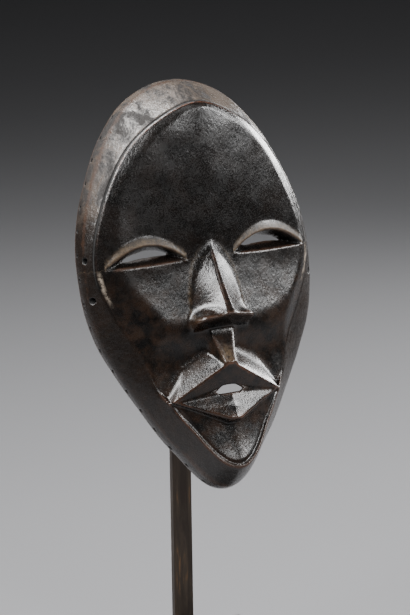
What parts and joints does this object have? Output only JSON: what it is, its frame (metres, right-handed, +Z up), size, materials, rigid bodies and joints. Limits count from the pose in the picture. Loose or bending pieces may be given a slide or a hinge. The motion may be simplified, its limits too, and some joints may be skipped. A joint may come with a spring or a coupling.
{
  "type": "carved wooden face mask on a display stand",
  "caption": "Oval carved wooden face mask with a domed forehead and slit eyes, leaning back on a flat bar stand with a square base.",
  "frame": {"origin": "centre of the stand's underside, on the surface it stands on", "axes": "+Z up; the face looks along -Y and leans back towards +Y; +X runs across the face and is the normal of its mirror plane"},
  "size_m": [0.1432, 0.1253, 0.3687],
  "materials": {
    "mask_wood": "dark polished patina, worn brown on its edges",
    "stand_bar": "dark brown patina, brassy where it is worn",
    "stand_block": "satin black"
  },
  "bodies": {
    "root": {"mask": "mask_wood", "stand_post": "stand_bar", "stand_base": "stand_block"}
  },
  "joints": []
}
